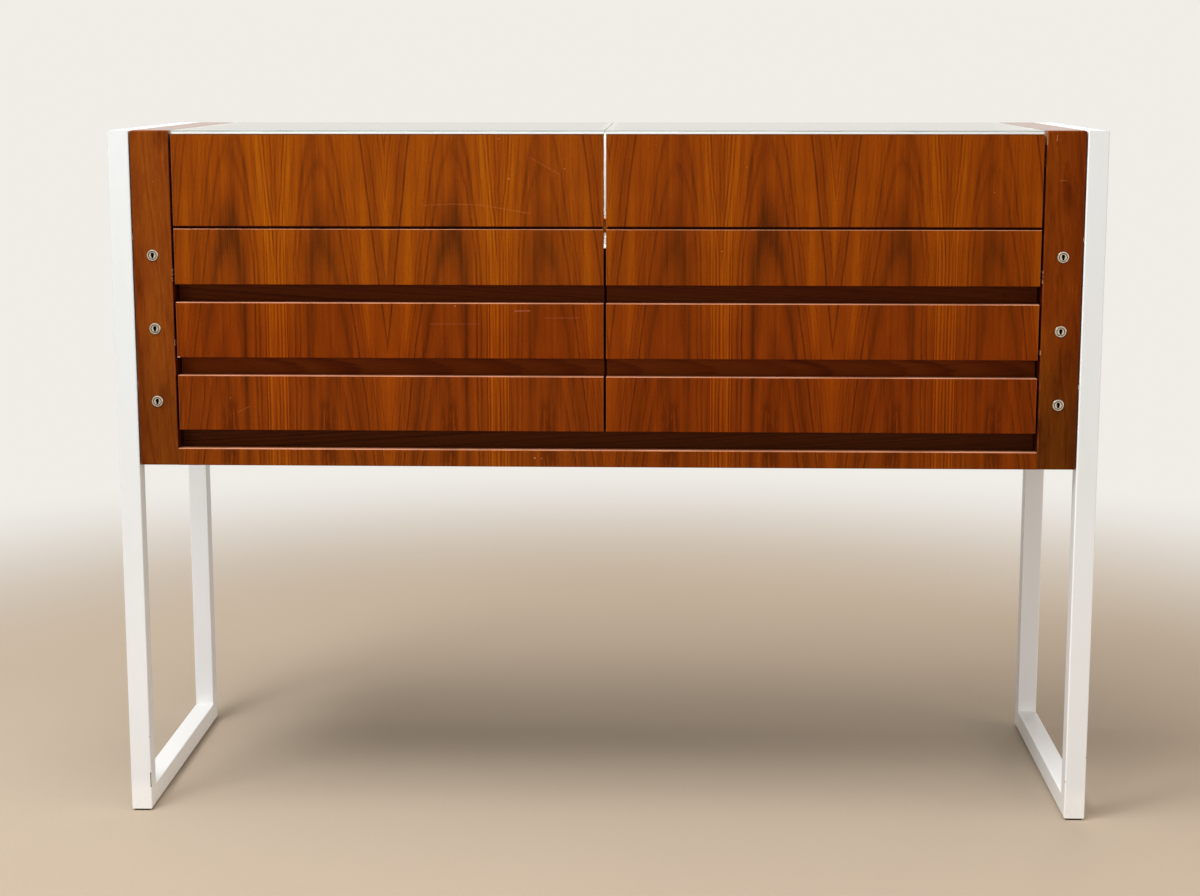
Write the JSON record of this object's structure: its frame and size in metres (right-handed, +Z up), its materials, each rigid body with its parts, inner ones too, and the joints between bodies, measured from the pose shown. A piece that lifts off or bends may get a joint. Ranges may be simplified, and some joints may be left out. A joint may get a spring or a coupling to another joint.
{
  "type": "jewelry display cabinet",
  "caption": "Free-standing glass-topped walnut display cabinet with locking drawers between two white square-tube loop frames.",
  "frame": {"origin": "on the floor under the middle of the whole, lock rosettes included", "axes": "+Z up, +Y to the back, the drawer side faces -Y, +X to the right as seen from the drawer side"},
  "size_m": [1.5, 0.5116, 1.068],
  "materials": {
    "white_steel": "satin white paint",
    "walnut_veneer": "satin lacquered flat-cut walnut",
    "dark_walnut": "matt dark walnut",
    "birch_ply": "lacquered birch plywood",
    "white_laminate": "satin laminate",
    "top_glass": "clear, polished edges",
    "lock_nickel": "worn nickel plate",
    "zinc_steel": "zinc plated",
    "drawer_felt": "charcoal felt",
    "black_pad": "matt"
  },
  "bodies": {
    "case": {"left_front_leg": "white_steel", "left_rear_leg": "white_steel", "left_sled_rail": "white_steel", "left_top_rail": "white_steel", "left_stile": "walnut_veneer", "left_outer_side": "walnut_veneer", "left_fascia": "walnut_veneer", "left_inner_side": "dark_walnut", "left_glass": "top_glass", "right_front_leg": "white_steel", "right_rear_leg": "white_steel", "right_sled_rail": "white_steel", "right_top_rail": "white_steel", "right_stile": "walnut_veneer", "right_outer_side": "walnut_veneer", "right_fascia": "walnut_veneer", "right_inner_side": "dark_walnut", "right_glass": "top_glass", "floor_pads": "black_pad", "frame_bolts": "zinc_steel", "side_caps": "walnut_veneer", "base_rail": "walnut_veneer", "recess_rail": "dark_walnut", "bottom_panel": "dark_walnut", "back_panel": "walnut_veneer", "centre_partition": "white_laminate", "fascia_rail": "dark_walnut", "glass_ledges": "white_laminate", "case_runners": "zinc_steel", "lock_barrels": "lock_nickel"},
    "upper_left": {"upper_left_front": "walnut_veneer", "upper_left_box": "dark_walnut", "upper_left_bottom": "birch_ply", "upper_left_runners": "zinc_steel"},
    "upper_right": {"upper_right_front": "walnut_veneer", "upper_right_box": "dark_walnut", "upper_right_bottom": "birch_ply", "upper_right_runners": "zinc_steel"},
    "middle_left": {"middle_left_front": "walnut_veneer", "middle_left_box": "dark_walnut", "middle_left_bottom": "birch_ply", "middle_left_runners": "zinc_steel"},
    "middle_right": {"middle_right_front": "walnut_veneer", "middle_right_box": "dark_walnut", "middle_right_bottom": "birch_ply", "middle_right_runners": "zinc_steel"},
    "lower_left": {"lower_left_front": "walnut_veneer", "lower_left_box": "dark_walnut", "lower_left_bottom": "birch_ply", "lower_left_runners": "zinc_steel"},
    "lower_right": {"lower_right_front": "walnut_veneer", "lower_right_box": "dark_walnut", "lower_right_bottom": "birch_ply", "lower_right_runners": "zinc_steel"},
    "upper_left_lock": {"upper_left_lock": "lock_nickel"},
    "upper_right_lock": {"upper_right_lock": "lock_nickel"},
    "middle_left_lock": {"middle_left_lock": "lock_nickel"},
    "middle_right_lock": {"middle_right_lock": "lock_nickel"},
    "lower_left_lock": {"lower_left_lock": "lock_nickel"},
    "lower_right_lock": {"lower_right_lock": "lock_nickel"}
  },
  "joints": [
    {"name": "upper_left_slide", "type": "slide", "parent": "case", "child": "upper_left", "axis": [0, -1, 0], "range_m": [0, 0.3]},
    {"name": "upper_right_slide", "type": "slide", "parent": "case", "child": "upper_right", "axis": [0, -1, 0], "range_m": [0, 0.3]},
    {"name": "middle_left_slide", "type": "slide", "parent": "case", "child": "middle_left", "axis": [0, -1, 0], "range_m": [0, 0.3]},
    {"name": "middle_right_slide", "type": "slide", "parent": "case", "child": "middle_right", "axis": [0, -1, 0], "range_m": [0, 0.3]},
    {"name": "lower_left_slide", "type": "slide", "parent": "case", "child": "lower_left", "axis": [0, -1, 0], "range_m": [0, 0.3]},
    {"name": "lower_right_slide", "type": "slide", "parent": "case", "child": "lower_right", "axis": [0, -1, 0], "range_m": [0, 0.3]},
    {"name": "upper_left_lock_turn", "type": "hinge", "parent": "case", "child": "upper_left_lock", "pos_m": [-0.687, -0.2542, 0.88025], "axis": [0, -1, 0], "range_deg": [0, 90]},
    {"name": "upper_right_lock_turn", "type": "hinge", "parent": "case", "child": "upper_right_lock", "pos_m": [0.687, -0.2542, 0.88025], "axis": [0, 1, 0], "range_deg": [0, 90]},
    {"name": "middle_left_lock_turn", "type": "hinge", "parent": "case", "child": "middle_left_lock", "pos_m": [-0.687, -0.2542, 0.76825], "axis": [0, -1, 0], "range_deg": [0, 90]},
    {"name": "middle_right_lock_turn", "type": "hinge", "parent": "case", "child": "middle_right_lock", "pos_m": [0.687, -0.2542, 0.76825], "axis": [0, 1, 0], "range_deg": [0, 90]},
    {"name": "lower_left_lock_turn", "type": "hinge", "parent": "case", "child": "lower_left_lock", "pos_m": [-0.687, -0.2542, 0.65625], "axis": [0, -1, 0], "range_deg": [0, 90]},
    {"name": "lower_right_lock_turn", "type": "hinge", "parent": "case", "child": "lower_right_lock", "pos_m": [0.687, -0.2542, 0.65625], "axis": [0, 1, 0], "range_deg": [0, 90]}
  ]
}
